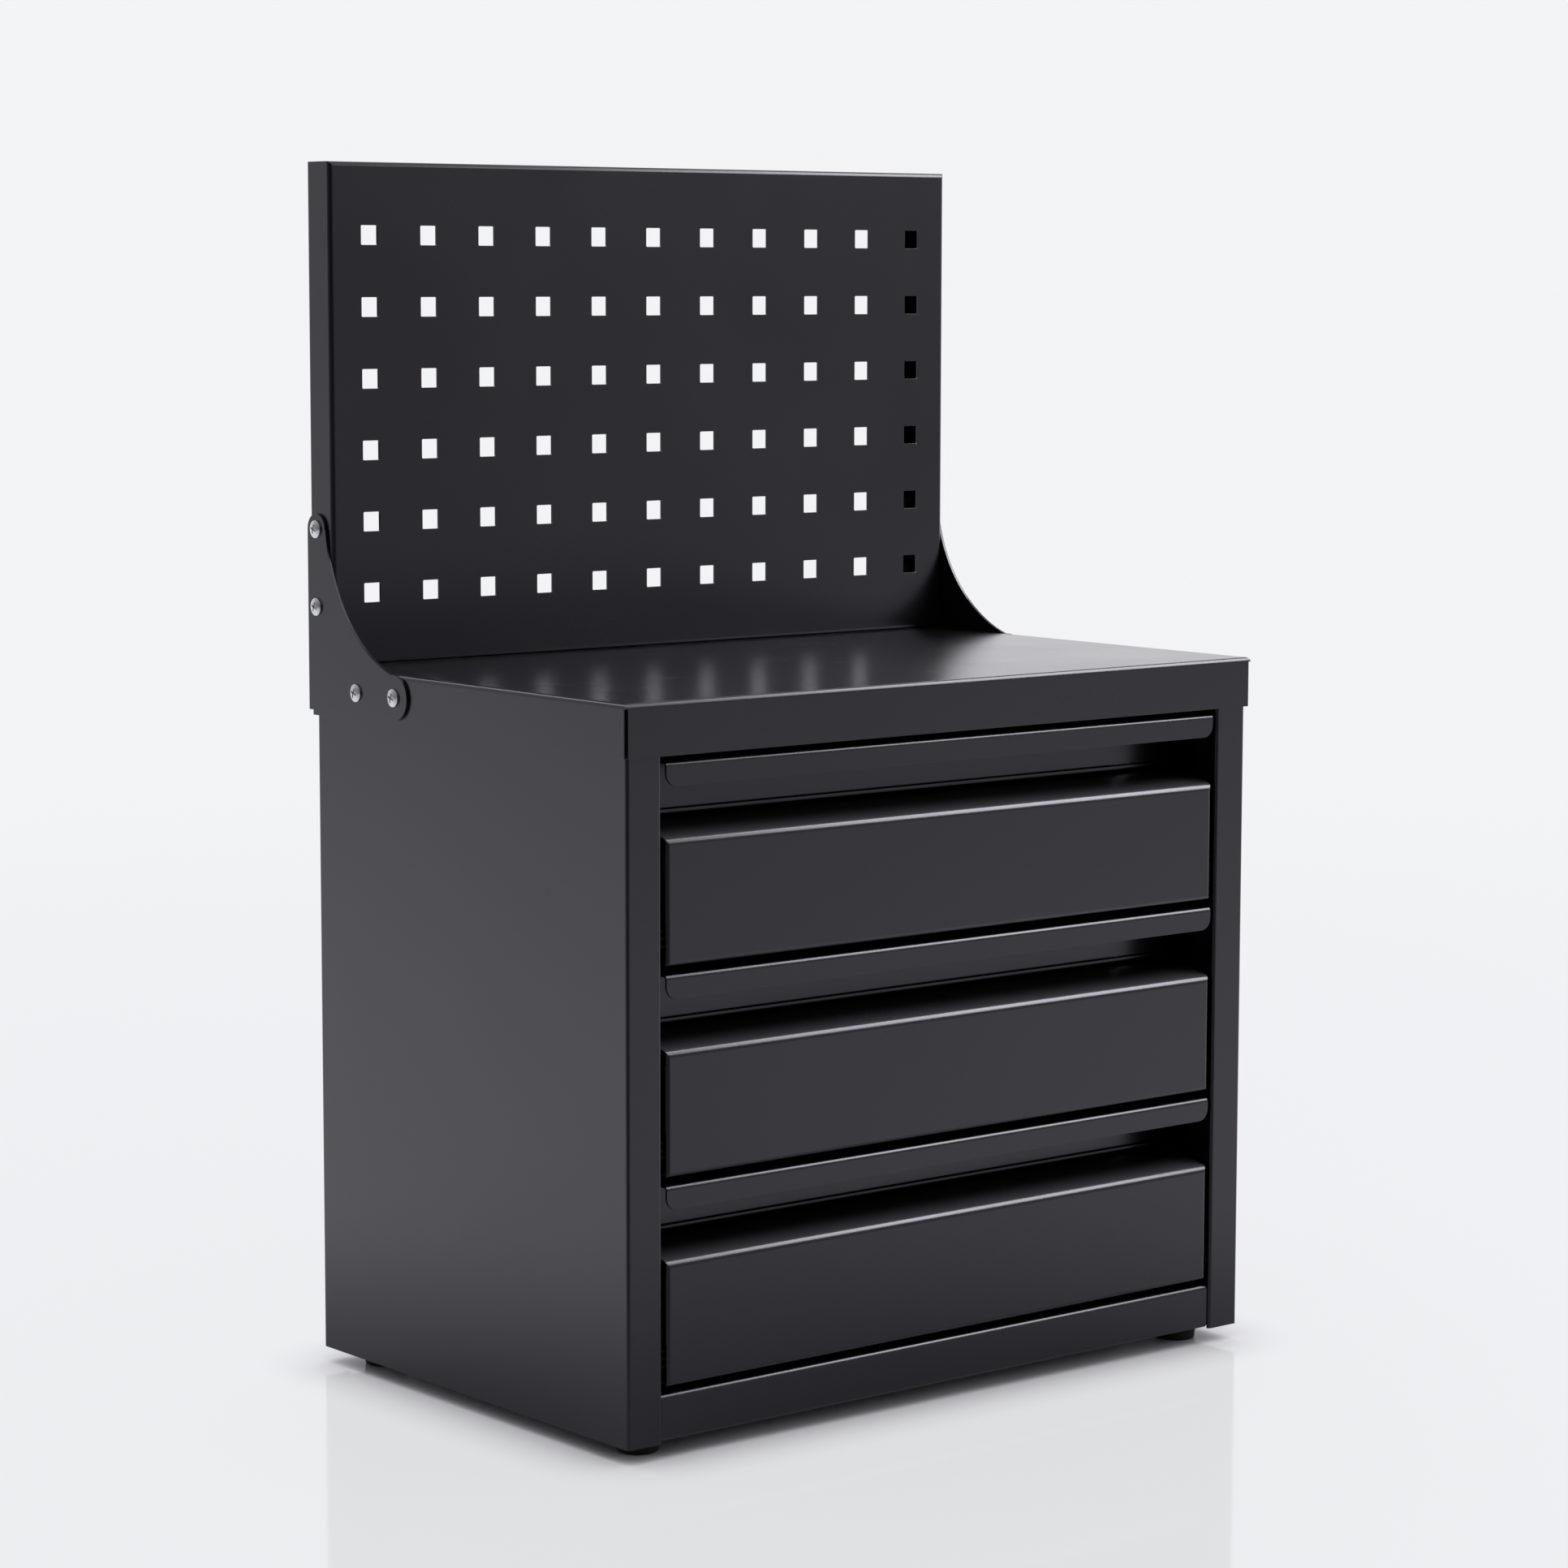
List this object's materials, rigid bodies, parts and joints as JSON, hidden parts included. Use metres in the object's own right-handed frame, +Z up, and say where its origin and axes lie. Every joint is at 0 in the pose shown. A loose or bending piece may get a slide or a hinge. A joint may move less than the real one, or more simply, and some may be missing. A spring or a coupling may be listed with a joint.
{
  "type": "pegboard drawer cabinet",
  "caption": "Benchtop steel drawer cabinet with folded-in drawer grips, a flat worktop, and an upright pegboard panel bracketed to the back edge.",
  "frame": {"origin": "on the surface that the feet stand on, under the middle of the cabinet", "axes": "+X across the front to the right, +Y to the back, +Z up; the drawers open towards -Y"},
  "size_m": [0.4374, 0.28, 0.6498],
  "materials": {
    "powder_coat": "satin black powder coat with a very fine texture",
    "black_coat": "thin black electrocoat on slide steel",
    "zinc": "bright zinc plated",
    "nylon": "dark grey moulded nylon",
    "rubber": "matt black moulded rubber"
  },
  "bodies": {
    "cabinet": {"left_side_panel": "powder_coat", "right_side_panel": "powder_coat", "back_panel": "powder_coat", "bottom_panel": "powder_coat", "front_rail": "powder_coat", "top_crossmember": "powder_coat", "left_rear_stile": "powder_coat", "right_rear_stile": "powder_coat", "top_cover": "powder_coat", "pegboard_panel": "powder_coat", "left_bracket": "powder_coat", "right_bracket": "powder_coat", "bracket_screws": "zinc", "bracket_nuts": "zinc", "back_rivets": "powder_coat", "rail_rivets": "zinc", "feet": "rubber", "foot_screws": "zinc", "foot_nuts": "zinc", "rail_pads": "nylon", "left_rail_top": "black_coat", "left_rail_middle": "black_coat", "left_rail_bottom": "black_coat", "right_rail_top": "black_coat", "right_rail_middle": "black_coat", "right_rail_bottom": "black_coat"},
    "drawer_top": {"drawer_front_top": "powder_coat", "drawer_handle_top": "powder_coat", "drawer_tray_top": "powder_coat", "drawer_back_top": "powder_coat", "left_runner_top": "black_coat", "right_runner_top": "black_coat", "runner_glides_top": "nylon", "runner_rivets_top": "zinc"},
    "drawer_middle": {"drawer_front_middle": "powder_coat", "drawer_handle_middle": "powder_coat", "drawer_tray_middle": "powder_coat", "drawer_back_middle": "powder_coat", "left_runner_middle": "black_coat", "right_runner_middle": "black_coat", "runner_glides_middle": "nylon", "runner_rivets_middle": "zinc"},
    "drawer_bottom": {"drawer_front_bottom": "powder_coat", "drawer_handle_bottom": "powder_coat", "drawer_tray_bottom": "powder_coat", "drawer_back_bottom": "powder_coat", "left_runner_bottom": "black_coat", "right_runner_bottom": "black_coat", "runner_glides_bottom": "nylon", "runner_rivets_bottom": "zinc"}
  },
  "joints": [
    {"name": "top_drawer_slide", "type": "slide", "parent": "cabinet", "child": "drawer_top", "axis": [0, -1, 0], "range_m": [0, 0.2]},
    {"name": "middle_drawer_slide", "type": "slide", "parent": "cabinet", "child": "drawer_middle", "axis": [0, -1, 0], "range_m": [0, 0.2]},
    {"name": "bottom_drawer_slide", "type": "slide", "parent": "cabinet", "child": "drawer_bottom", "axis": [0, -1, 0], "range_m": [0, 0.2]}
  ]
}
